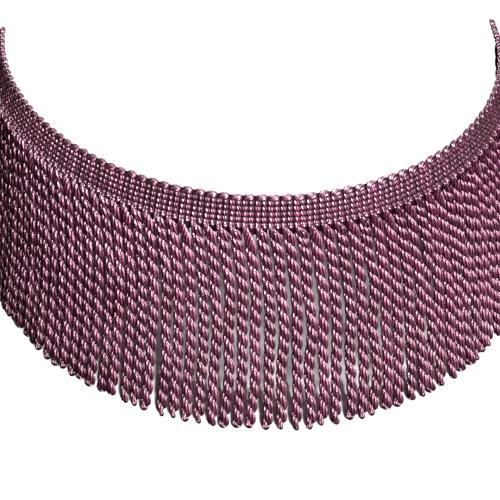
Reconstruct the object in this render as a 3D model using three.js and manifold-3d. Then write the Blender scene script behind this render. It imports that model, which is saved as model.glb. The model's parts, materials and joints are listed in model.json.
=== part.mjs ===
// Bullion fringe trim: a woven rayon heading with a skirt of twisted bullion cords hanging from it.
// Millimetres, +Z up. The front faces -Y, and the origin is the foremost point of the heading's top edge.
import * as THREE from "three";
import { mergeVertices } from "three/addons/utils/BufferGeometryUtils.js";
import Module from "manifold-3d";

// The curve in which the trim hangs, seen from above: part of an ellipse, turned a little about Z.
const PLAN_HALF_WIDTH = 99;
const PLAN_HALF_DEPTH = 112;
const PLAN_TURN = THREE.MathUtils.degToRad(16.5);
const PLAN_START = THREE.MathUtils.degToRad(140);
const PLAN_END = THREE.MathUtils.degToRad(375);
const PLAN_SAMPLES = 4000;

// The heading: two yarn columns for each cord, pinched by the warps and looped over at the top.
const CORD_COUNT = 76;
const CORD_PITCH = 4.58;
const HEADING_HEIGHT = 13;
const HEADING_THICKNESS = 2.3;
const HEADING_FLARE = THREE.MathUtils.degToRad(18);
const RIB_RELIEF = 0.55;
const LOOP_RISE = 1.0;
const COLUMN_TOP_DIP = 0.2;
const EDGE_ROUNDING = 0.75;
const STATIONS_PER_CORD = 4;

// The cords hang in runs. Each run's roots are fused into its own backing strip, just below the heading.
const RUN_COUNT = 8;
const PIECE_GAP = 0.3;
const STRIP_HEIGHT = 1.6;
const STRIP_THICKNESS = 2.3;

// The cords: twisted strands, drawn with three sides and one turn for each 30 mm.
const DROP = 100;
const CORD_RADIUS = 2.25;
const ROOT_RADIUS = 0.95;
const TIP_RADIUS = 1.0;
const ROOT_SINK = 0.8;
const NECK_LENGTH = 2.6;
const TIP_LENGTH = 1.5;
const TWIST_LENGTH = 30;
const CORD_SIDES = 3;
const CORD_STEPS = 20;

// How the cords hang: outward with the heading, to the right at first, and then nearly straight down.
const FLARE_AT_ROOT = Math.tan(THREE.MathUtils.degToRad(6));
const FLARE_AT_LEFT_TIP = Math.tan(THREE.MathUtils.degToRad(8));
const FLARE_AT_RIGHT_TIP = Math.tan(THREE.MathUtils.degToRad(12));
const SIDE_SWING = 4;
const SWING_POWER = 4;
const SWING_BACK = 1.5;
const BELLY_LEFT = 1.8;
const BELLY_RIGHT = 0.8;
const UNEVEN_LENGTH = 1.1;
const UNEVEN_DEPTH = 0.5;
const GATHER_REACH = 2;

// The waves that make the cords uneven: how much each counts, and its step from one cord to the next.
const UNEVEN_WAVES = [
  { size: 0.6, step: 2.4, shift: 1 },
  { size: 0.4, step: 5.1, shift: 3.7 },
];
const LENGTH_SHIFT = 1.3;
const DEPTH_SHIFT = 4.1;

// Where the cords part: the place, in cords to the right of the middle, and the extra gap at the tips.
const PARTINGS = [
  { place: -31, gap: 1.6 },
  { place: -27, gap: 1.2 },
  { place: -23, gap: 2.6 },
  { place: -20, gap: 0.8 },
  { place: -14, gap: 0.9 },
  { place: -12, gap: 1.2 },
  { place: -9, gap: 2.0 },
  { place: -1, gap: 0.9 },
  { place: 1, gap: 1.1 },
  { place: 5, gap: 0.9 },
  { place: 10, gap: 0.8 },
  { place: 14, gap: 2.0 },
  { place: 17, gap: 1.8 },
  { place: 20, gap: 2.4 },
  { place: 25, gap: 1.3 },
  { place: 30, gap: 1.5 },
];

const HALF_LENGTH = (CORD_COUNT * CORD_PITCH) / 2;

const wasm = await Module();
wasm.setup();

// The plan ellipse about its own centre, at one of its angles.
function ellipsePoint(angle) {
  return new THREE.Vector2(
    PLAN_HALF_WIDTH * Math.cos(angle),
    PLAN_HALF_DEPTH * Math.sin(angle),
  ).rotateAround(new THREE.Vector2(), PLAN_TURN);
}

// The plan curve, measured along its length from its foremost point, which lies at the origin.
function samplePlan() {
  const points = [];
  for (let i = 0; i <= PLAN_SAMPLES; i++) {
    points.push(ellipsePoint(THREE.MathUtils.lerp(PLAN_START, PLAN_END, i / PLAN_SAMPLES)));
  }
  const front = points.reduce((best, point) => (point.y < best.y ? point : best)).clone();
  const frontIndex = points.findIndex((point) => point.equals(front));
  let length = 0;
  const samples = points.map((point, i) => {
    length += i ? point.distanceTo(points[i - 1]) : 0;
    return { point, length };
  });
  const frontLength = samples[frontIndex].length;
  return samples.map((sample) => ({
    point: sample.point.clone().sub(front),
    length: sample.length - frontLength,
  }));
}

const plan = samplePlan();

// The point, tangent and outward normal of the plan curve at a length along it.
function planFrame(along) {
  let low = 0;
  let high = plan.length - 1;
  while (high - low > 1) {
    const middle = (low + high) >> 1;
    if (plan[middle].length <= along) low = middle;
    else high = middle;
  }
  const a = plan[low];
  const b = plan[high];
  const share = (along - a.length) / (b.length - a.length);
  const point = a.point.clone().lerp(b.point, share);
  const tangent = b.point.clone().sub(a.point).normalize();
  return { point, tangent, outward: new THREE.Vector2(tangent.y, -tangent.x) };
}

// A place on the trim: along its length, outward of the top edge's curve, and up from the top edge.
function placeOnTrim(along, outward, up, sideways = 0) {
  const frame = planFrame(along);
  return new THREE.Vector3(
    frame.point.x + frame.outward.x * outward + frame.tangent.x * sideways,
    frame.point.y + frame.outward.y * outward + frame.tangent.y * sideways,
    up,
  );
}

// Moves every vertex of a geometry through one function, and joins the vertices that coincide.
function reshape(geometry, move) {
  const position = geometry.getAttribute("position");
  const vertex = new THREE.Vector3();
  for (let i = 0; i < position.count; i++) {
    const moved = move(vertex.fromBufferAttribute(position, i).clone());
    position.setXYZ(i, moved.x, moved.y, moved.z);
  }
  geometry.deleteAttribute("normal");
  geometry.deleteAttribute("uv");
  return mergeVertices(geometry, 1e-4);
}

function toSolid(geometry) {
  return new wasm.Manifold(
    new wasm.Mesh({
      numProp: 3,
      vertProperties: geometry.getAttribute("position").array,
      triVerts: new Uint32Array(geometry.index.array),
    }),
  );
}

function toGeometry(solid) {
  const mesh = solid.getMesh();
  const geometry = new THREE.BufferGeometry();
  geometry.setAttribute("position", new THREE.BufferAttribute(mesh.vertProperties, 3));
  geometry.setIndex(new THREE.BufferAttribute(mesh.triVerts, 1));
  geometry.computeVertexNormals();
  return geometry;
}

// The outward place of the heading's front face at a depth below its top edge.
function headingFront(depth) {
  return depth * Math.tan(HEADING_FLARE);
}

// Ribs stand out over each yarn column, and the top edge rises over each loop between two columns.
function headingPoint(local) {
  const along = (local.z - 0.5) * 2 * HALF_LENGTH;
  const cordShare = local.z * CORD_COUNT;
  const rib = (1 - Math.cos(4 * Math.PI * cordShare)) / 2;
  const loop = (1 - Math.cos(2 * Math.PI * cordShare)) / 2;
  const dip = LOOP_RISE * (1 - Math.sqrt(loop)) + COLUMN_TOP_DIP * rib;
  const topShare = 1 + local.y / HEADING_HEIGHT;
  const depth = -local.y + dip * topShare;
  const front = headingFront(depth);
  const isFront = local.x < HEADING_THICKNESS / 4;
  const ribOut = isFront ? RIB_RELIEF * (rib - 1) : 0;
  return placeOnTrim(along, front - local.x + ribOut, -depth);
}

function makeHeading() {
  const section = new THREE.Shape([
    new THREE.Vector2(0, -HEADING_HEIGHT),
    new THREE.Vector2(HEADING_THICKNESS, -HEADING_HEIGHT),
    new THREE.Vector2(HEADING_THICKNESS, -EDGE_ROUNDING),
    new THREE.Vector2(HEADING_THICKNESS / 2, 0),
    new THREE.Vector2(0, -EDGE_ROUNDING),
  ]);
  const steps = CORD_COUNT * STATIONS_PER_CORD;
  const band = new THREE.ExtrudeGeometry(section, { depth: 1, steps, bevelEnabled: false });
  return reshape(band, headingPoint);
}

// The backing strip of one run of cords, a little short of its neighbours at both ends.
function makeStrip(firstCord, endCord) {
  const start = firstCord * CORD_PITCH - HALF_LENGTH + PIECE_GAP / 2;
  const end = endCord * CORD_PITCH - HALF_LENGTH - PIECE_GAP / 2;
  const section = new THREE.Shape([
    new THREE.Vector2(0, -STRIP_HEIGHT),
    new THREE.Vector2(STRIP_THICKNESS, -STRIP_HEIGHT),
    new THREE.Vector2(STRIP_THICKNESS, 0),
    new THREE.Vector2(0, 0),
  ]);
  const strip = new THREE.ExtrudeGeometry(section, {
    depth: 1,
    steps: endCord - firstCord,
    bevelEnabled: false,
  });
  return reshape(strip, (local) => {
    const depth = HEADING_HEIGHT + PIECE_GAP - local.y;
    const along = THREE.MathUtils.lerp(start, end, local.z);
    return placeOnTrim(along, headingFront(depth) - local.x, -depth);
  });
}

// A steady but uneven number from -1 to 1 for each cord, the same on every run.
function uneven(cord, shift) {
  return UNEVEN_WAVES.reduce(
    (sum, wave) => sum + wave.size * Math.sin(cord * wave.step + shift * wave.shift),
    0,
  );
}

// How far a cord's tip is pushed sideways by the partings on either side of it.
function gatherAtTip(place) {
  return PARTINGS.reduce((sum, parting) => {
    const away = place - parting.place;
    const push = Math.exp(-(Math.abs(away) - 0.5) / GATHER_REACH);
    return sum + (Math.sign(away) * push * parting.gap) / 2;
  }, 0);
}

// One cord: a three-sided strand, narrow at its root and rounded at its looped tip.
function makeCord(cord) {
  const place = cord - (CORD_COUNT - 1) / 2;
  const side = place / (CORD_COUNT / 2);
  const rightness = (side + 1) / 2;
  const belly = THREE.MathUtils.lerp(BELLY_LEFT, BELLY_RIGHT, rightness) * Math.abs(side);
  const flareAtTip = THREE.MathUtils.lerp(FLARE_AT_LEFT_TIP, FLARE_AT_RIGHT_TIP, rightness);
  const gather = gatherAtTip(place);
  const rootDepth = HEADING_HEIGHT + PIECE_GAP + STRIP_HEIGHT;
  const rootOut = headingFront(rootDepth) - STRIP_THICKNESS / 2;
  const length = DROP - rootDepth + UNEVEN_LENGTH * uneven(cord, LENGTH_SHIFT);
  const depthAside = UNEVEN_DEPTH * uneven(cord, DEPTH_SHIFT);
  const corners = [];
  for (let i = 0; i < CORD_SIDES; i++) {
    const angle = (i * 2 * Math.PI) / CORD_SIDES;
    corners.push(new THREE.Vector2(Math.cos(angle), Math.sin(angle)));
  }
  const strand = new THREE.ExtrudeGeometry(new THREE.Shape(corners), {
    depth: 1,
    steps: CORD_STEPS,
    bevelEnabled: false,
  });
  return reshape(strand, (local) => {
    const step = Math.round((1 - local.z) * CORD_STEPS);
    const depth = depthAtStep(step, length);
    const radius = radiusAtStep(step);
    const share = Math.max(depth, 0) / length;
    const turn = (2 * Math.PI * depth) / TWIST_LENGTH;
    const corner = new THREE.Vector2(local.x, local.y).rotateAround(new THREE.Vector2(), turn);
    const swing = SIDE_SWING * (1 - (1 - share) ** SWING_POWER) - SWING_BACK * share ** 2;
    const sideways = swing + belly * Math.sin(Math.PI * share) + gather * share ** 2;
    const flare = FLARE_AT_ROOT + ((flareAtTip - FLARE_AT_ROOT) * share) / 2;
    const outward = rootOut + share * (length * flare + depthAside);
    return placeOnTrim(
      place * CORD_PITCH,
      outward - radius * corner.y,
      -(rootDepth + depth),
      sideways + radius * corner.x,
    );
  });
}

// The depth of a cord's ring of corners below its root: the neck, even steps, and the rounded tip.
function depthAtStep(step, length) {
  if (step === 0) return -ROOT_SINK;
  if (step === 1) return NECK_LENGTH;
  if (step === CORD_STEPS) return length;
  const share = (step - 1) / (CORD_STEPS - 2);
  return THREE.MathUtils.lerp(NECK_LENGTH, length - TIP_LENGTH, share);
}

function radiusAtStep(step) {
  if (step === 0) return ROOT_RADIUS;
  if (step === CORD_STEPS) return TIP_RADIUS;
  return CORD_RADIUS;
}

function makeRun(firstCord, endCord) {
  let run = toSolid(makeStrip(firstCord, endCord));
  for (let cord = firstCord; cord < endCord; cord++) run = run.add(toSolid(makeCord(cord)));
  return toGeometry(run);
}

function rayonYarn(name, color, roughness) {
  return new THREE.MeshStandardMaterial({ name, color, roughness, metalness: 0 });
}

const trim = new THREE.Group();

const heading = new THREE.Mesh(makeHeading(), rayonYarn("woven rayon heading", 0x74375a, 0.5));
heading.name = "heading";
trim.add(heading);

for (let run = 0; run < RUN_COUNT; run++) {
  const firstCord = Math.round((run * CORD_COUNT) / RUN_COUNT);
  const endCord = Math.round(((run + 1) * CORD_COUNT) / RUN_COUNT);
  const material = rayonYarn("twisted rayon bullion", 0x8a4a6c, 0.38);
  const cords = new THREE.Mesh(makeRun(firstCord, endCord), material);
  cords.name = `bullion_cords_${run + 1}`;
  trim.add(cords);
}

export default trim;
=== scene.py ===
"""Bullion fringe trim: a woven rayon heading with a skirt of twisted bullion cords, hanging in a curve.

Metres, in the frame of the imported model: +Z up, the front faces -Y, and the origin is the foremost
point of the heading's top edge.
"""

import json
import math

import bpy
import numpy as np
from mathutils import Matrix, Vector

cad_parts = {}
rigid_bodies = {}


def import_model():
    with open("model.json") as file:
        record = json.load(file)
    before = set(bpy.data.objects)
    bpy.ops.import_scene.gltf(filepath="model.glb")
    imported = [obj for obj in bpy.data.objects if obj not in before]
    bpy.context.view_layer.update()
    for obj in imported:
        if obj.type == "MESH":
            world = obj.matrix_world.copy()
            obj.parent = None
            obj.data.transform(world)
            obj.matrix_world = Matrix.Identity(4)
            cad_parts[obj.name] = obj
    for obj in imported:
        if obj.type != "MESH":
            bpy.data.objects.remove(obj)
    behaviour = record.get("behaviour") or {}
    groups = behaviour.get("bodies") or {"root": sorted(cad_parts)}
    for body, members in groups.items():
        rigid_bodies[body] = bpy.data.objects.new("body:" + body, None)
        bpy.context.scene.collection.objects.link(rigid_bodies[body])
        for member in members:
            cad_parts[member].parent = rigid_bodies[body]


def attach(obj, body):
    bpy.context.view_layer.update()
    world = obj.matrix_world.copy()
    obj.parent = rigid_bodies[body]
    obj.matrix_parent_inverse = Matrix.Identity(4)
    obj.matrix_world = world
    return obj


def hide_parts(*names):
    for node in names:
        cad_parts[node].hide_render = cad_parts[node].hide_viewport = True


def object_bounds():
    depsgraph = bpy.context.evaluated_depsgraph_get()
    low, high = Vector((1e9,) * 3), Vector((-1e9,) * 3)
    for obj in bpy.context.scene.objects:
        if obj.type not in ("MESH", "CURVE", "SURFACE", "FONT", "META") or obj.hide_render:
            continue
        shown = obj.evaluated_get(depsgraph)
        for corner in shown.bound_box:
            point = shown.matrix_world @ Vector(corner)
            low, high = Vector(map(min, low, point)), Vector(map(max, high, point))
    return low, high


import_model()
cad_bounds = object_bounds()
bpy.ops.object.select_all(action="DESELECT")
bpy.context.scene.view_settings.view_transform = "Standard"

# Camera
# It looks down on the front of the trim, from as far off as a product photographer stands, with a
# long lens, so that the whole front of the curve fills the frame from side to side.
MM = 0.001
CAMERA_PLACE = (-6.5 * MM, -575.3 * MM, 424.5 * MM)
CAMERA_PITCH_DOWN = math.radians(38)
CAMERA_LENS = 144

camera_data = bpy.data.cameras.new("camera")
camera_data.lens = CAMERA_LENS
camera = bpy.data.objects.new("camera", camera_data)
camera.location = CAMERA_PLACE
camera.rotation_euler = (math.pi / 2 - CAMERA_PITCH_DOWN, 0, 0)
bpy.context.scene.collection.objects.link(camera)
bpy.context.scene.camera = camera

# Heading web
# The ground cloth of the heading: a narrow close band of warp threads, dyed as the yarns are. It
# lies inside the yarn columns and shows as the dark line between them.
CM_IN_METRE = 100
# Seen from above, the trim follows part of an ellipse that is turned a little.
PLAN_HALF_WIDTH = 99 * MM
PLAN_HALF_DEPTH = 112 * MM
PLAN_TURN = math.radians(16.5)
PLAN_START = math.radians(140)
PLAN_END = math.radians(375)
PLAN_SAMPLES = 4000
CORD_COUNT = 76
CORD_PITCH = 4.58 * MM
HALF_LENGTH = CORD_COUNT * CORD_PITCH / 2
HEADING_HEIGHT = 13 * MM
HEADING_THICKNESS = 2.3 * MM
HEADING_FLARE = math.radians(18)
WEB_TOP = 1.3 * MM
WEB_BOTTOM = 12.9 * MM
WEB_THICKNESS = 0.8 * MM
WEB_STATIONS_PER_CORD = 2
WEB_ROWS = 5
# The pits of the grain are painted nearly black, as shade in them. The rest is the ground's dye.
GROUND_PAINTED_SHADE_IN_PITS = "030001"
GROUND_DYE = "120208"
# The grain is that of threads 0.4 mm apart.
GROUND_GRAIN_PER_METRE = 2500
GROUND_GRAIN_DETAIL = 2
GROUND_RELIEF = 0.1 * MM
GROUND_ROUGHNESS = 0.9


def plan_curve():
    """The curve in which the trim hangs, seen from above, with its length from the foremost point."""
    angle = np.linspace(PLAN_START, PLAN_END, PLAN_SAMPLES + 1)
    across = PLAN_HALF_WIDTH * np.cos(angle)
    back = PLAN_HALF_DEPTH * np.sin(angle)
    x = across * math.cos(PLAN_TURN) - back * math.sin(PLAN_TURN)
    y = across * math.sin(PLAN_TURN) + back * math.cos(PLAN_TURN)
    front = int(np.argmin(y))
    steps = np.hypot(np.diff(x), np.diff(y))
    length = np.concatenate([[0], np.cumsum(steps)])
    return x - x[front], y - y[front], length - length[front]


plan_x, plan_y, plan_length = plan_curve()
plan_dx = np.gradient(plan_x, plan_length)
plan_dy = np.gradient(plan_y, plan_length)


def on_trim(along, outward, depth, sideways=0.0):
    """Points on the trim: along its length, outward of its top edge, and down from the top edge."""
    along, outward, depth, sideways = np.broadcast_arrays(along, outward, depth, sideways)
    x = np.interp(along, plan_length, plan_x)
    y = np.interp(along, plan_length, plan_y)
    dx = np.interp(along, plan_length, plan_dx)
    dy = np.interp(along, plan_length, plan_dy)
    return np.stack([x + dy * outward + dx * sideways, y - dx * outward + dy * sideways, -depth], -1)


def heading_middle(depth):
    """The outward place of the middle of the heading's thickness."""
    return depth * math.tan(HEADING_FLARE) - HEADING_THICKNESS / 2


def cord_middle(cord):
    """The place of a cord along the trim."""
    return (cord + 0.5) * CORD_PITCH - HALF_LENGTH


def join_tubes(name, points, lengths, shades, end_rings=0):
    """One mesh of closed tubes. Points are by tube, ring and side, lengths by tube and ring.

    The UV map goes once round each tube and runs down it in centimetres. Shades are named numbers,
    by tube, ring and side, that the material reads. The walls of the first and last end_rings rings
    take the mesh's second material.
    """
    tubes, rings, sides, _ = points.shape
    index = np.arange(tubes * rings * sides).reshape(tubes, rings, sides)
    upper, lower = index[:, :-1], index[:, 1:]
    walls = np.stack([upper, np.roll(upper, -1, 2), np.roll(lower, -1, 2), lower], -1)
    caps = np.concatenate([index[:, 0, ::-1], index[:, -1]])
    mesh = bpy.data.meshes.new(name)
    faces = walls.reshape(-1, 4).tolist() + caps.tolist()
    mesh.from_pydata(points.reshape(-1, 3).tolist(), [], faces)
    wall_slots = np.zeros(walls.shape[:3], np.int32)
    wall_slots[:, :end_rings] = 1
    wall_slots[:, rings - 1 - end_rings :] = 1
    cap_slots = np.full(len(caps), min(end_rings, 1), np.int32)
    mesh.polygons.foreach_set("material_index", np.concatenate([wall_slots.ravel(), cap_slots]))

    around = np.arange(sides) / sides
    next_around = around + 1 / sides
    round_corners = np.stack([around, next_around, next_around, around], -1)
    round_corners = np.broadcast_to(round_corners, walls.shape)
    down = np.broadcast_to(lengths[:, :, None] * CM_IN_METRE, points.shape[:3])
    down_corners = np.stack([down[:, :-1], down[:, :-1], down[:, 1:], down[:, 1:]], -1)
    wall_uv = np.stack([round_corners, down_corners], -1).reshape(-1, 2)
    cap_uv = np.zeros((caps.size, 2))
    uv = mesh.uv_layers.new(name="UVMap")
    uv.data.foreach_set("uv", np.concatenate([wall_uv, cap_uv]).astype(np.float32).ravel())

    for shade, values in shades.items():
        attribute = mesh.attributes.new(shade, "FLOAT", "POINT")
        values = np.broadcast_to(values, points.shape[:3])
        attribute.data.foreach_set("value", values.astype(np.float32).ravel())
    mesh.shade_smooth()
    mesh.validate()
    piece = bpy.data.objects.new(name, mesh)
    bpy.context.scene.collection.objects.link(piece)
    return piece


def linear(hex_colour):
    """An sRGB colour such as 7A3358 as linear red, green, blue and alpha."""
    srgb = [int(hex_colour[i : i + 2], 16) / 255 for i in (0, 2, 4)]
    return [c / 12.92 if c <= 0.04045 else ((c + 0.055) / 1.055) ** 2.4 for c in srgb] + [1.0]


def add_node(tree, kind, inputs=None, **settings):
    """A node with its settings. Each input is a value, or a socket that is linked to it."""
    node = tree.nodes.new(kind)
    for name, value in settings.items():
        setattr(node, name, value)
    for key, value in (inputs or {}).items():
        if isinstance(value, bpy.types.NodeSocket):
            tree.links.new(value, node.inputs[key])
        else:
            node.inputs[key].default_value = value
    return node


def new_material(name):
    """A node material with an empty Principled shader, and its tree."""
    material = bpy.data.materials.new(name)
    material.use_nodes = True
    return material, material.node_tree, material.node_tree.nodes["Principled BSDF"]


def woven_ground():
    """Close plain weave in deep-dyed rayon: matt, with a fine grain whose pits are painted nearly black
    as shade.
    """
    material, tree, shader = new_material("deep dyed rayon ground weave")
    coordinates = add_node(tree, "ShaderNodeTexCoord")
    grain_place = {
        "Vector": coordinates.outputs["Object"],
        "Scale": GROUND_GRAIN_PER_METRE,
        "Detail": GROUND_GRAIN_DETAIL,
    }
    grain = add_node(tree, "ShaderNodeTexNoise", grain_place).outputs["Fac"]
    # Painted shade: the colour goes nearly black in the pits of the grain.
    colour = add_node(tree, "ShaderNodeMix", data_type="RGBA")
    tree.links.new(grain, colour.inputs["Factor"])
    colour.inputs["A"].default_value = linear(GROUND_PAINTED_SHADE_IN_PITS)
    colour.inputs["B"].default_value = linear(GROUND_DYE)
    bump = add_node(tree, "ShaderNodeBump", {"Height": grain, "Distance": GROUND_RELIEF})
    tree.links.new(colour.outputs["Result"], shader.inputs["Base Color"])
    tree.links.new(bump.outputs["Normal"], shader.inputs["Normal"])
    shader.inputs["Roughness"].default_value = GROUND_ROUGHNESS
    shader.inputs["Specular IOR Level"].default_value = 0.0
    return material


ground_weave = woven_ground()


def band_between(name, start, end, top, bottom, thickness, stations):
    """A flat closed band of cloth that follows the heading's slope between two depths."""
    along = np.linspace(start, end, stations)
    down = np.linspace(top, bottom, WEB_ROWS)
    depth = np.concatenate([down, down[::-1]])
    out = np.repeat([0.5, -0.5], WEB_ROWS) * thickness
    points = on_trim(along[:, None], heading_middle(depth) + out, depth)
    return join_tubes(name, points[None], (along - start)[None], {})


heading_web = band_between(
    "heading_web",
    -HALF_LENGTH,
    HALF_LENGTH,
    WEB_TOP,
    WEB_BOTTOM,
    WEB_THICKNESS,
    CORD_COUNT * WEB_STATIONS_PER_CORD + 1,
)
heading_web.data.materials.append(ground_weave)

# Weft columns
# The heading's yarn: soft doubled rayon that runs up one column, loops over the top edge and comes
# down the next. The warps pinch it at every row, so that it stands out in beads on both faces.
COLUMN_OFFSET = CORD_PITCH / 4
# The arch over the top edge, and then the beads and the pinches between them.
ARCH_DEPTH = 2.6 * MM
ARCH_RISE = 0.85 * MM
ARCH_SQUARENESS = 0.45
ARCH_HALF_WIDTH = 1.25 * MM
# A little painted shade over the arches.
ARCH_PAINTED_SHADE = 0.2
BEAD_ROWS = 5
BEAD_HEIGHT = 1.98 * MM
BEAD_HALF_WIDTH = 1.17 * MM
BEAD_HALF_THICKNESS = 1.15 * MM
BEAD_SQUARENESS = 0.32
PINCH_WIDTH_SHARE = 0.78
PINCH_THICKNESS_SHARE = 0.66
# Painted shade in the pinches between the beads.
PINCH_PAINTED_SHADE = 1.0
RINGS_PER_BEAD = 6
ARCH_RINGS = 11
COLUMN_SIDES = 12
# How far the beads and arches differ from each other, and by what steps the beads are numbered.
BEAD_WIDTH_UNLIKE = 0.05
BEAD_THICKNESS_UNLIKE = 0.06
BEAD_STRAY = 0.08 * MM
BEAD_TONE_UNLIKE = 0.14
COLUMN_TONE_UNLIKE = 0.1
ARCH_LIFT_UNLIKE = 0.25 * MM
BEAD_NUMBER = {"cord": 13, "row": 5, "side": 3}
# The waves of the uneven numbers. Each thing that is uneven has its own shift of them.
UNEVEN_WAVES = [
    {"size": 0.6, "step": 2.4, "shift": 1.0},
    {"size": 0.4, "step": 5.1, "shift": 3.7},
]
BEAD_SHIFT = 0.7
ARCH_LIFT_SHIFT = 2.2
COLUMN_TONE_SHIFT = 5.0
# The yarn's colours, from painted shadow in its clefts over its dye to its crests, and its sheen.
YARN_SHADOW = "020000"
YARN_BODY = "100208"
YARN_CREST = "662440"
YARN_SHEEN = "FFC0DC"
# How much each thing lightens the colour, which runs from painted shadow at 0 over body to crest at 1.
# The painted shade darkens it in clefts, pinches and under the heading.
PAINTED_SHADE_LIGHTENS = -1.4
# Strands and filaments are painted lighter on their crests and darker in their valleys, as light and
# shade.
STRAND_PAINTED_LIGHT_AND_SHADE = 0.4
FILAMENT_PAINTED_LIGHT_AND_SHADE = 0.15
WANDER_LIGHTENS = 0.9
LIGHTNESS_CUT = 0.2
BODY_LIGHTNESS = 0.5
# The wander is a noise of about a millimetre, which bends the strands and clouds the dye.
WANDER_PER_METRE = 900
WANDER_DETAIL = 2
STRAND_WANDER = 1.2
FILAMENTS_IN_STRAND = 3.0
FILAMENT_RELIEF = 0.2


def uneven(number, shift):
    """A steady but uneven number from -1 to 1 for each counted thing, the same on every run."""
    waves = [
        np.sin(number * wave["step"] + shift * wave["shift"]) * wave["size"] for wave in UNEVEN_WAVES
    ]
    return sum(waves)


def weft_points():
    """The looped yarns: their rings of points, the length down each, and each ring's painted shade and
    tone.
    """
    steps = np.arange(BEAD_ROWS * RINGS_PER_BEAD + 1) / RINGS_PER_BEAD
    column_depth = ARCH_DEPTH + steps * BEAD_HEIGHT
    arch = np.linspace(0, math.pi, ARCH_RINGS + 2)[1:-1]
    arch_depth = ARCH_DEPTH - ARCH_RISE * np.sin(arch) ** ARCH_SQUARENESS
    depth = np.concatenate([column_depth[::-1], arch_depth, column_depth])
    left = np.full(len(column_depth), -COLUMN_OFFSET)
    across = np.concatenate([left, -COLUMN_OFFSET * np.cos(arch), -left])
    in_column = np.sin(math.pi * steps) ** 2
    column_bulge = in_column**BEAD_SQUARENESS
    bulge = np.concatenate([column_bulge[::-1], np.ones(ARCH_RINGS), column_bulge])
    in_arch = np.concatenate([0 * left, np.sin(arch), 0 * left])

    step_across = np.gradient(across)
    step_down = np.gradient(depth)
    step = np.hypot(step_across, step_down)
    normal_across, normal_down = step_down / step, -step_across / step
    length = np.concatenate([[0], np.cumsum(np.hypot(np.diff(across), np.diff(depth)))])

    cord = np.arange(CORD_COUNT)[:, None]
    row = np.round(depth / BEAD_HEIGHT)
    side = np.sign(across)
    number = cord * BEAD_NUMBER["cord"] + row * BEAD_NUMBER["row"] + side * BEAD_NUMBER["side"]
    unlike = uneven(number, BEAD_SHIFT)
    half_width = BEAD_HALF_WIDTH * (PINCH_WIDTH_SHARE + (1 - PINCH_WIDTH_SHARE) * bulge)
    half_width = half_width * (1 - in_arch) + ARCH_HALF_WIDTH * in_arch
    half_width = half_width * (1 + BEAD_WIDTH_UNLIKE * unlike)
    half_thick = BEAD_HALF_THICKNESS * (PINCH_THICKNESS_SHARE + (1 - PINCH_THICKNESS_SHARE) * bulge)
    half_thick = half_thick * (1 + BEAD_THICKNESS_UNLIKE * unlike)

    turn = np.arange(COLUMN_SIDES) * 2 * math.pi / COLUMN_SIDES + math.pi / 2
    in_plane = np.cos(turn) * half_width[..., None]
    out = np.sin(turn) * half_thick[..., None]
    lift = ARCH_LIFT_UNLIKE * uneven(cord, ARCH_LIFT_SHIFT) * in_arch
    stray = BEAD_STRAY * unlike * bulge
    ring_across = (across + stray)[..., None] + in_plane * normal_across[:, None]
    ring_depth = (depth - lift)[..., None] + in_plane * normal_down[:, None]
    points = on_trim(
        cord_middle(cord)[..., None] + ring_across,
        heading_middle(ring_depth) + out,
        ring_depth,
    )
    # Painted shade: dark in the pinches between the beads, and a little over the arches.
    painted_pinch_and_arch_shade = np.maximum(PINCH_PAINTED_SHADE * (1 - bulge), ARCH_PAINTED_SHADE * in_arch)[None, :, None]
    tone = COLUMN_TONE_UNLIKE * uneven(cord, COLUMN_TONE_SHIFT) + BEAD_TONE_UNLIKE * unlike
    return points, np.broadcast_to(length, (CORD_COUNT, len(length))), painted_pinch_and_arch_shade, tone[..., None]


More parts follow.
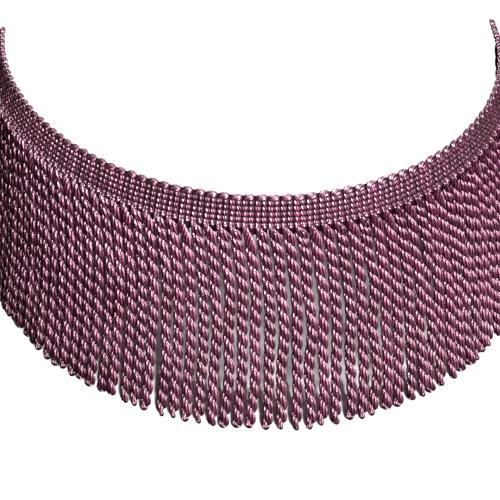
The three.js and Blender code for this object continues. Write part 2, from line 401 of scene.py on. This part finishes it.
def rayon_yarn(
    name,
    strands_round,
    lay,
    relief_depth,
    ior,
    level,
    anisotropy,
    grain_turn,
    roughness,
    cleft_roughness=None,
):
    """Filament rayon yarn, loosely plied, with a satin line where its strands turn to the light.

    The strands and their lay, in turns round the yarn and down it a centimetre, give the relief, which is
    also painted into the colour, lighter on its crests and darker in its valleys, as light and shade. The
    sheen is drawn out along the grain, which grain_turn lays over by a share of a turn. The mesh's
    painted shade darkens the dye in clefts, pinches and under the heading, and its tone varies the dye.
    The painted shade also moves the roughness towards cleft_roughness, where that is given.
    """
    material, tree, shader = new_material(name)
    coordinates = add_node(tree, "ShaderNodeTexCoord")
    uv = add_node(tree, "ShaderNodeSeparateXYZ", {"Vector": coordinates.outputs["UV"]})
    painted_shade = add_node(tree, "ShaderNodeAttribute", attribute_name="painted_shade").outputs["Fac"]
    tone = add_node(tree, "ShaderNodeAttribute", attribute_name="tone").outputs["Fac"]
    wander_place = {
        "Vector": coordinates.outputs["Object"],
        "Scale": WANDER_PER_METRE,
        "Detail": WANDER_DETAIL,
    }
    wander = add_node(tree, "ShaderNodeTexNoise", wander_place).outputs["Fac"]

    def maths(operation, a, b=0.0, c=0.0):
        node = add_node(tree, "ShaderNodeMath", {0: a, 1: b, 2: c}, operation=operation)
        return node.outputs[0]

    turns_round = maths("MULTIPLY", uv.outputs["X"], strands_round * 2 * math.pi)
    turns_down = maths("MULTIPLY_ADD", uv.outputs["Y"], lay * 2 * math.pi, turns_round)
    wandering = maths("MULTIPLY_ADD", wander, STRAND_WANDER, turns_down)
    strand = maths("MULTIPLY_ADD", maths("COSINE", wandering), 0.5, 0.5)
    filament_phase = maths("MULTIPLY_ADD", wandering, FILAMENTS_IN_STRAND, wander)
    filament = maths("MULTIPLY_ADD", maths("SINE", filament_phase), 0.5, 0.5)
    relief = maths("MULTIPLY_ADD", filament, FILAMENT_RELIEF, strand)

    # The colour: painted shade darkens it in clefts, pinches and under the heading. The strands and
    # filaments are painted lighter on their crests and darker in their valleys, as light and shade, and
    # the wander and tone vary it at random.
    lightness = maths("MULTIPLY_ADD", painted_shade, PAINTED_SHADE_LIGHTENS, maths("MULTIPLY", strand, STRAND_PAINTED_LIGHT_AND_SHADE))
    lightness = maths("MULTIPLY_ADD", filament, FILAMENT_PAINTED_LIGHT_AND_SHADE, lightness)
    lightness = maths("MULTIPLY_ADD", wander, WANDER_LIGHTENS, lightness)
    lightness = maths("SUBTRACT", maths("ADD", lightness, tone), LIGHTNESS_CUT)
    ramp = add_node(tree, "ShaderNodeValToRGB", {"Fac": lightness})
    ramp.color_ramp.elements[0].color = linear(YARN_SHADOW)
    ramp.color_ramp.elements[1].color = linear(YARN_CREST)
    middle = ramp.color_ramp.elements.new(BODY_LIGHTNESS)
    middle.color = linear(YARN_BODY)
    bump = add_node(tree, "ShaderNodeBump", {"Height": relief, "Distance": relief_depth})
    grain_way = add_node(tree, "ShaderNodeTangent", direction_type="UV_MAP", uv_map="UVMap")
    tree.links.new(ramp.outputs["Color"], shader.inputs["Base Color"])
    tree.links.new(bump.outputs["Normal"], shader.inputs["Normal"])
    tree.links.new(grain_way.outputs["Tangent"], shader.inputs["Tangent"])
    shader.inputs["Anisotropic"].default_value = anisotropy
    shader.inputs["Anisotropic Rotation"].default_value = grain_turn
    shader.inputs["Roughness"].default_value = roughness
    if cleft_roughness:
        duller = maths("MULTIPLY_ADD", painted_shade, cleft_roughness - roughness, roughness)
        tree.links.new(duller, shader.inputs["Roughness"])
    shader.inputs["IOR"].default_value = ior
    shader.inputs["Specular IOR Level"].default_value = level
    shader.inputs["Specular Tint"].default_value = linear(YARN_SHEEN)
    return material


weft_rings, weft_lengths, weft_painted_shade, weft_tone = weft_points()
heading_wefts = join_tubes(
    "heading_wefts", weft_rings, weft_lengths, {"painted_shade": weft_painted_shade, "tone": weft_tone}
)
weft_yarn = rayon_yarn(
    "plied rayon weft",
    strands_round=6,
    lay=4.0,
    relief_depth=0.24 * MM,
    ior=1.6,
    level=0.9,
    anisotropy=0.5,
    grain_turn=0.0,
    roughness=0.43,
    cleft_roughness=0.45,
)
heading_wefts.data.materials.append(weft_yarn)

# Warp threads
# Fine twisted threads that run the length of the heading in the pinches between the beads, two to a
# row, each over one column and under the next, so that every column is crossed in front and behind.
WARP_RADIUS = 0.2 * MM
WARP_SWING = 0.78 * MM
# The warps lie in the pinches and are painted darker there, as shade.
WARP_PAINTED_SHADE = 0.6
WARP_OFFSET = 0.08 * MM
WARP_SIDES = 6
WARP_STATIONS_PER_COLUMN = 2


def warp_points():
    """The warps, two for each row of pinches, by thread, station and side, and their lengths."""
    stations = CORD_COUNT * 2 * WARP_STATIONS_PER_COLUMN + 1
    along = np.linspace(-HALF_LENGTH + WARP_RADIUS, HALF_LENGTH - WARP_RADIUS, stations)
    weave = np.sin(np.arange(stations) * math.pi / WARP_STATIONS_PER_COLUMN)
    turn = np.arange(WARP_SIDES) * 2 * math.pi / WARP_SIDES
    threads = []
    for row in range(BEAD_ROWS):
        for side in (1, -1):
            depth = ARCH_DEPTH + row * BEAD_HEIGHT + side * WARP_OFFSET
            down = depth - np.sin(turn) * WARP_RADIUS
            out = side * weave[:, None] * WARP_SWING + np.cos(turn) * WARP_RADIUS
            threads.append(on_trim(along[:, None], heading_middle(down) + out, down))
    lengths = np.broadcast_to(along + HALF_LENGTH, (len(threads), stations))
    return np.stack(threads), lengths


warp_rings, warp_lengths = warp_points()
heading_warps = join_tubes(
    "heading_warps", warp_rings, warp_lengths, {"painted_shade": WARP_PAINTED_SHADE, "tone": 0.0}
)
warp_yarn = rayon_yarn(
    "fine rayon warp",
    strands_round=3,
    lay=12.0,
    relief_depth=0.08 * MM,
    ior=1.5,
    level=0.5,
    anisotropy=0.7,
    grain_turn=0.0,
    roughness=0.5,
    cleft_roughness=0.6,
)
heading_warps.data.materials.append(warp_yarn)

for piece in (heading_web, heading_wefts, heading_warps):
    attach(piece, "root")
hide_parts("heading")

# Bullion cords
# Each cord is one length of rayon yarn, twisted hard and doubled back on itself, so that its halves
# wind round each other and close in a small loop at the tip. Both halves come out of the heading,
# where the yarn is given less sheen and painted shade, as the shade under the heading's edge. Each run
# of cords has its own narrow strip under the heading.
RUN_COUNT = 8
PIECE_GAP = 0.3 * MM
STRIP_HEIGHT = 1.6 * MM
STRIP_THICKNESS = 2.3 * MM
STRIP_SHOWN_THICKNESS = 0.7 * MM
ROOT_DEPTH = HEADING_HEIGHT + PIECE_GAP + STRIP_HEIGHT
# The cords hang with an outward flare, a sideways swing and a belly towards the ends, no two alike.
DROP = 100 * MM
FLARE_AT_ROOT = math.tan(math.radians(6))
FLARE_AT_LEFT_TIP = math.tan(math.radians(8))
FLARE_AT_RIGHT_TIP = math.tan(math.radians(12))
SIDE_SWING = 4 * MM
SWING_POWER = 4
SWING_BACK = 1.5 * MM
BELLY_LEFT = 1.8 * MM
BELLY_RIGHT = 0.8 * MM
UNEVEN_LENGTH = 1.1 * MM
UNEVEN_DEPTH = 0.5 * MM
LENGTH_SHIFT = 1.3
DEPTH_SHIFT = 4.1
GATHER_REACH = 2
NEAREST_TO_PARTING = 0.5
# Where the cords part: the place, in cords to the right of the middle, and the extra gap at the tips.
PARTINGS = [
    {"place": -31, "gap": 1.6 * MM},
    {"place": -27, "gap": 1.2 * MM},
    {"place": -23, "gap": 2.6 * MM},
    {"place": -20, "gap": 0.8 * MM},
    {"place": -14, "gap": 0.9 * MM},
    {"place": -12, "gap": 1.2 * MM},
    {"place": -9, "gap": 2.0 * MM},
    {"place": -1, "gap": 0.9 * MM},
    {"place": 1, "gap": 1.1 * MM},
    {"place": 5, "gap": 0.9 * MM},
    {"place": 10, "gap": 0.8 * MM},
    {"place": 14, "gap": 2.0 * MM},
    {"place": 17, "gap": 1.8 * MM},
    {"place": 20, "gap": 2.4 * MM},
    {"place": 25, "gap": 1.3 * MM},
    {"place": 30, "gap": 1.5 * MM},
]
TWIST_LENGTH = 12 * MM
TWIST_UNLIKE = 0.08
TWIST_LENGTH_SHIFT = 2.9
# So that the cords aren't in step, each one's twist is put forward or back over its first stretch.
TWIST_STEP = 0.72 * math.pi
TWIST_STEP_LENGTH = 10 * MM
TWIST_STEP_SHIFT = 6.2
# The cords waver a little as they hang, in full from this share of their length down.
WAVER = 0.7 * MM
WAVER_LENGTH = 38 * MM
WAVER_FROM = 0.25
WAVER_PLACE_SHIFT = 0.9
WAVER_SIZE_SHIFT = 3.8
# The two plies of a cord, which press each other wider than they are deep, and their strands.
PLY_OFFSET = 1.1 * MM
PLY_OUTER = 1.23 * MM
PLY_HALF_WIDTH = 1.6 * MM
PLY_INNER_POWER = 0.95
# Painted shade darkens each ply inward of this distance out of its centre, as the shade in the cleft.
PAINTED_SHADE_FROM = 0.7 * MM
PLY_SIDES = 12
STRANDS_IN_PLY = 7
STRAND_TURNS_PER_CM = -1.0
TIP_SLIMNESS = 0.9
CORD_TONE_UNLIKE = 0.06
CORD_TONE_SHIFT = 3.3
# The neck, which is the stretch from the heading to the full twist, and the loop at the tip.
ROOT_SECTION = 1.0 * MM
# Painted shade on the neck, under the heading's edge, fading out down the neck.
ROOT_PAINTED_SHADE = 0.15
NECK_LENGTH = 2.6 * MM
NECK_RINGS = 4
NECK_INSIDE_HEADING = 1.0 * MM
LOOP_OFFSET = 1.25 * MM
LOOP_STRETCH = 1.2
LOOP_SECTION = 0.85 * MM
LOOP_OPENING_LENGTH = 2.2 * MM
PLY_START = ARCH_DEPTH + BEAD_ROWS * BEAD_HEIGHT - NECK_INSIDE_HEADING
PLY_RINGS = 166
LOOP_RINGS = 9


def lerp(a, b, share):
    """The value at a share of the way from a to b."""
    return a + (b - a) * share


def ease(share):
    """A share from 0 to 1 that starts and ends gently."""
    share = np.clip(share, 0, 1)
    return share * share * (3 - 2 * share)


def unit(vectors):
    """The vectors at a length of 1."""
    return vectors / np.linalg.norm(vectors, axis=-1, keepdims=True)


def gather_at_tip(place):
    """How far a cord's tip is pushed sideways by the partings on either side of it."""
    total = np.zeros_like(place)
    for parting in PARTINGS:
        away = place - parting["place"]
        push = np.exp(-(np.abs(away) - NEAREST_TO_PARTING) / GATHER_REACH)
        total = total + np.sign(away) * push * parting["gap"] / 2
    return total


def cord_length(cord):
    """How far a cord hangs below its backing strip."""
    return DROP - ROOT_DEPTH + UNEVEN_LENGTH * uneven(cord, LENGTH_SHIFT)


def cord_course(cord, depth):
    """The outward and sideways place of a cord's own centre at a depth below the top edge."""
    place = cord - (CORD_COUNT - 1) / 2
    side = place / (CORD_COUNT / 2)
    rightness = (side + 1) / 2
    root_out = ROOT_DEPTH * math.tan(HEADING_FLARE) - STRIP_THICKNESS / 2
    length = cord_length(cord)
    share = np.maximum(depth - ROOT_DEPTH, 0) / length
    belly = lerp(BELLY_LEFT, BELLY_RIGHT, rightness) * np.abs(side)
    sideways = SIDE_SWING * (1 - (1 - share) ** SWING_POWER) - SWING_BACK * share**2
    sideways = sideways + belly * np.sin(math.pi * share) + gather_at_tip(place) * share**2
    flare_at_tip = lerp(FLARE_AT_LEFT_TIP, FLARE_AT_RIGHT_TIP, rightness)
    flare = FLARE_AT_ROOT + (flare_at_tip - FLARE_AT_ROOT) * share / 2
    outward = root_out + share * (length * flare + UNEVEN_DEPTH * uneven(cord, DEPTH_SHIFT))
    waves = 2 * math.pi * (depth / WAVER_LENGTH + uneven(cord, WAVER_PLACE_SHIFT))
    waver = WAVER * np.sin(waves) * ease(share / WAVER_FROM) * uneven(cord, WAVER_SIZE_SHIFT)
    return outward + waver, sideways + waver


def there_and_back(down, loop):
    """Values down one half of a cord, round its loop, and up the other half."""
    return np.concatenate([down, loop, down[:, ::-1]], 1)


def cord_points(first_cord, end_cord):
    """The cords of one run: each a single doubled yarn, by cord, ring and side, with its lengths."""
    cord = np.arange(first_cord, end_cord, dtype=float)[:, None]
    tip_depth = ROOT_DEPTH + cord_length(cord)
    loop_depth = tip_depth - LOOP_SECTION - LOOP_OFFSET * LOOP_STRETCH
    down = PLY_START + (loop_depth - PLY_START) * np.linspace(0, 1, PLY_RINGS)
    run_down = down - PLY_START
    twist_length = TWIST_LENGTH * (1 + TWIST_UNLIKE * uneven(cord, TWIST_LENGTH_SHIFT))
    turn = 2 * math.pi * run_down / twist_length
    turn = turn + TWIST_STEP * uneven(cord, TWIST_STEP_SHIFT) * ease(run_down / TWIST_STEP_LENGTH)
    past_neck = ease(run_down / NECK_LENGTH)
    before_loop = ease((loop_depth - down) / LOOP_OPENING_LENGTH)
    slimness = lerp(1, TIP_SLIMNESS, run_down / (loop_depth - PLY_START))

    def along_ply(at_root, in_cord, in_loop):
        return lerp(in_loop, lerp(at_root, in_cord * slimness, past_neck), before_loop)

    offset = along_ply(COLUMN_OFFSET, PLY_OFFSET, LOOP_OFFSET)
    round_loop = np.linspace(0, math.pi, LOOP_RINGS + 2)[1:-1] + 0 * cord
    depth = there_and_back(down, loop_depth + LOOP_OFFSET * LOOP_STRETCH * np.sin(round_loop))
    radius = np.concatenate([offset, LOOP_OFFSET * np.cos(round_loop), -offset[:, ::-1]], 1)
    angle = there_and_back(turn, turn[:, -1:] + 0 * round_loop) + math.pi
    in_loop = LOOP_SECTION + 0 * round_loop
    outer = there_and_back(along_ply(ROOT_SECTION, PLY_OUTER, LOOP_SECTION), in_loop)
    inner = there_and_back(along_ply(ROOT_SECTION, PLY_OFFSET, LOOP_SECTION), in_loop)
    half_width = there_and_back(along_ply(ROOT_SECTION, PLY_HALF_WIDTH, LOOP_SECTION), in_loop)
    inner_power = there_and_back(lerp(1, PLY_INNER_POWER, past_neck * before_loop), 1 + 0 * round_loop)

    outward, sideways = cord_course(cord, np.minimum(depth, loop_depth))
    along = cord_middle(cord)
    path = on_trim(
        along, outward - radius * np.sin(angle), depth, sideways + radius * np.cos(angle)
    )
    centre = on_trim(along, outward, np.minimum(depth, loop_depth), sideways)
    steps = np.linalg.norm(np.diff(path, axis=1), axis=-1)
    lengths = np.concatenate([0 * cord, np.cumsum(steps, 1)], 1)
    tangent = unit(np.gradient(path, axis=1))
    level = np.stack([path[..., 0] - centre[..., 0], path[..., 1] - centre[..., 1]], -1)
    drop = np.where(depth > loop_depth, loop_depth - depth, 0)
    radial = np.concatenate([level, drop[..., None]], -1)
    radial = unit(radial - tangent * np.sum(radial * tangent, -1, keepdims=True))
    sidelong = np.cross(tangent, radial)

    around = np.arange(PLY_SIDES) * 2 * math.pi / PLY_SIDES + math.pi
    out, aside = np.cos(around), np.sin(around)
    power = np.where(out < 0, inner_power[..., None], 1)
    reach = np.where(out < 0, inner[..., None], outer[..., None])
    out = np.sign(out) * np.abs(out) ** power * reach
    aside = np.sign(aside) * np.abs(aside) ** power * half_width[..., None]
    points = path[:, :, None] + out[..., None] * radial[:, :, None]
    points = points + aside[..., None] * sidelong[:, :, None]
    # Painted shade: each ply is darker towards the other ply, as the shade in the cleft between them.
    painted_cleft_shade = np.clip((PAINTED_SHADE_FROM - out) / (PAINTED_SHADE_FROM + PLY_OFFSET), 0, 1)
    # Painted shade under the heading's edge, fading out down the neck.
    painted_shade_under_heading = there_and_back(ROOT_PAINTED_SHADE * (1 - past_neck), 0 * round_loop)
    return points, lengths, np.maximum(painted_cleft_shade, painted_shade_under_heading[..., None])


bullion_yarn = rayon_yarn(
    "twisted rayon bullion",
    strands_round=STRANDS_IN_PLY,
    lay=STRAND_TURNS_PER_CM * STRANDS_IN_PLY,
    relief_depth=0.6 * MM,
    ior=1.9,
    level=1.0,
    anisotropy=0.92,
    grain_turn=0.83,
    roughness=0.47,
)
# A copy of the bullion yarn with less sheen, for the necks, standing in for the shade under the heading.
neck_yarn = rayon_yarn(
    "rayon bullion in the shade under the heading",
    strands_round=STRANDS_IN_PLY,
    lay=STRAND_TURNS_PER_CM * STRANDS_IN_PLY,
    relief_depth=0.3 * MM,
    ior=1.6,
    level=0.8,
    anisotropy=0.5,
    grain_turn=0.0,
    roughness=0.38,
)


def run_start(run):
    """The number of the first cord of a run, with runs and cords counted from 0."""
    return math.floor(run * CORD_COUNT / RUN_COUNT + 0.5)


for run in range(RUN_COUNT):
    first_cord, end_cord = run_start(run), run_start(run + 1)
    rings, lengths, painted_shade = cord_points(first_cord, end_cord)
    tones = CORD_TONE_UNLIKE * uneven(np.arange(first_cord, end_cord), CORD_TONE_SHIFT)
    shades = {"painted_shade": painted_shade, "tone": tones[:, None, None]}
    cords = join_tubes(f"bullion_cords_shown_{run + 1}", rings, lengths, shades, NECK_RINGS)
    cords.data.materials.append(bullion_yarn)
    cords.data.materials.append(neck_yarn)
    strip = band_between(
        f"bullion_strip_shown_{run + 1}",
        first_cord * CORD_PITCH - HALF_LENGTH + PIECE_GAP / 2,
        end_cord * CORD_PITCH - HALF_LENGTH - PIECE_GAP / 2,
        HEADING_HEIGHT + PIECE_GAP,
        ROOT_DEPTH,
        STRIP_SHOWN_THICKNESS,
        end_cord - first_cord + 1,
    )
    strip.data.materials.append(ground_weave)
    for piece in (cords, strip):
        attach(piece, "root")
    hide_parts(f"bullion_cords_{run + 1}")

# Floor and light
# A plain pale studio floor just under the tips. A soft key high in front lights the yarn, and a weak rim
# and back light lift its far side; they reach only the trim. The floor has a light of its own, which
# only the middle runs of cords shade, so that the ground is white, with grey behind the cords.
FLOOR_HALF_SIZE = 3.0
FLOOR_GAP = 0.5 * MM
FLOOR_WHITE = "BCBCBB"
FLOOR_ROUGHNESS = 0.9
# Where each light stands, in degrees to the right of the front and up from the floor, and how far off.
LIGHTS = [
    {"name": "key", "right": 22, "up": 48, "away": 1, "width": 0.35, "height": 0.25, "power": 113},
    {"name": "rim", "right": 190, "up": 60, "away": 1, "width": 1.0, "height": 0.4, "power": 12},
    {"name": "back", "right": 180, "up": 15, "away": 1, "width": 0.8, "height": 0.2, "power": 10},
    {"name": "floor_light", "right": 9, "up": 37.5, "away": 3, "width": 0.3, "height": 0.3, "power": 420},
]
LIGHT_AIM = (0, 30 * MM, -50 * MM)
WORLD_STRENGTH = 0.006
RUNS_THAT_SHADE = range(2, 7)

floor_mesh = bpy.data.meshes.new("floor")
floor_height = cad_bounds[0][2] - FLOOR_GAP
corners = [(-1, -1), (1, -1), (1, 1), (-1, 1)]
floor_mesh.from_pydata(
    [(x * FLOOR_HALF_SIZE, y * FLOOR_HALF_SIZE, floor_height) for x, y in corners], [], [(0, 1, 2, 3)]
)
floor = bpy.data.objects.new("floor", floor_mesh)
bpy.context.scene.collection.objects.link(floor)
floor_paint, _, floor_shader = new_material("matt white studio floor")
floor_shader.inputs["Base Color"].default_value = linear(FLOOR_WHITE)
floor_shader.inputs["Roughness"].default_value = FLOOR_ROUGHNESS
floor.data.materials.append(floor_paint)
floor.visible_glossy = False


def soft_light(name, right, up, away, width, height, power):
    """A rectangular soft light that faces the middle of the trim."""
    data = bpy.data.lights.new(name, "AREA")
    data.shape = "RECTANGLE"
    data.size = width
    data.size_y = height
    data.energy = power
    light = bpy.data.objects.new(name, data)
    right, up = math.radians(right), math.radians(up)
    way = np.array([math.sin(right) * math.cos(up), -math.cos(right) * math.cos(up), math.sin(up)])
    light.location = way * away
    aim = np.array(LIGHT_AIM) - np.array(light.location)
    flat = math.hypot(aim[0], aim[1])
    light.rotation_euler = (math.atan2(flat, -aim[2]), 0, math.atan2(-aim[0], aim[1]))
    bpy.context.scene.collection.objects.link(light)
    return light


def collection_of(name, pieces):
    """A collection that only says which pieces a light reaches, or which ones shade it."""
    collection = bpy.data.collections.new(name)
    for piece in pieces:
        collection.objects.link(piece)
    return collection


key, rim, back, floor_light = [soft_light(**light) for light in LIGHTS]
trim = [p for p in bpy.context.scene.objects if p.type == "MESH" and p != floor]
shading = [bpy.data.objects[f"bullion_cords_shown_{run}"] for run in RUNS_THAT_SHADE]
lit_trim = collection_of("lit_trim", trim)
for light in (key, rim, back):
    light.light_linking.receiver_collection = lit_trim
floor_light.light_linking.receiver_collection = collection_of("lit_floor", [floor])
floor_light.light_linking.blocker_collection = collection_of("shading_cords", shading)

world = bpy.data.worlds.new("studio")
bpy.context.scene.world = world
world.use_nodes = True
world.node_tree.nodes["Background"].inputs["Color"].default_value = (1, 1, 1, 1)
world.node_tree.nodes["Background"].inputs["Strength"].default_value = WORLD_STRENGTH
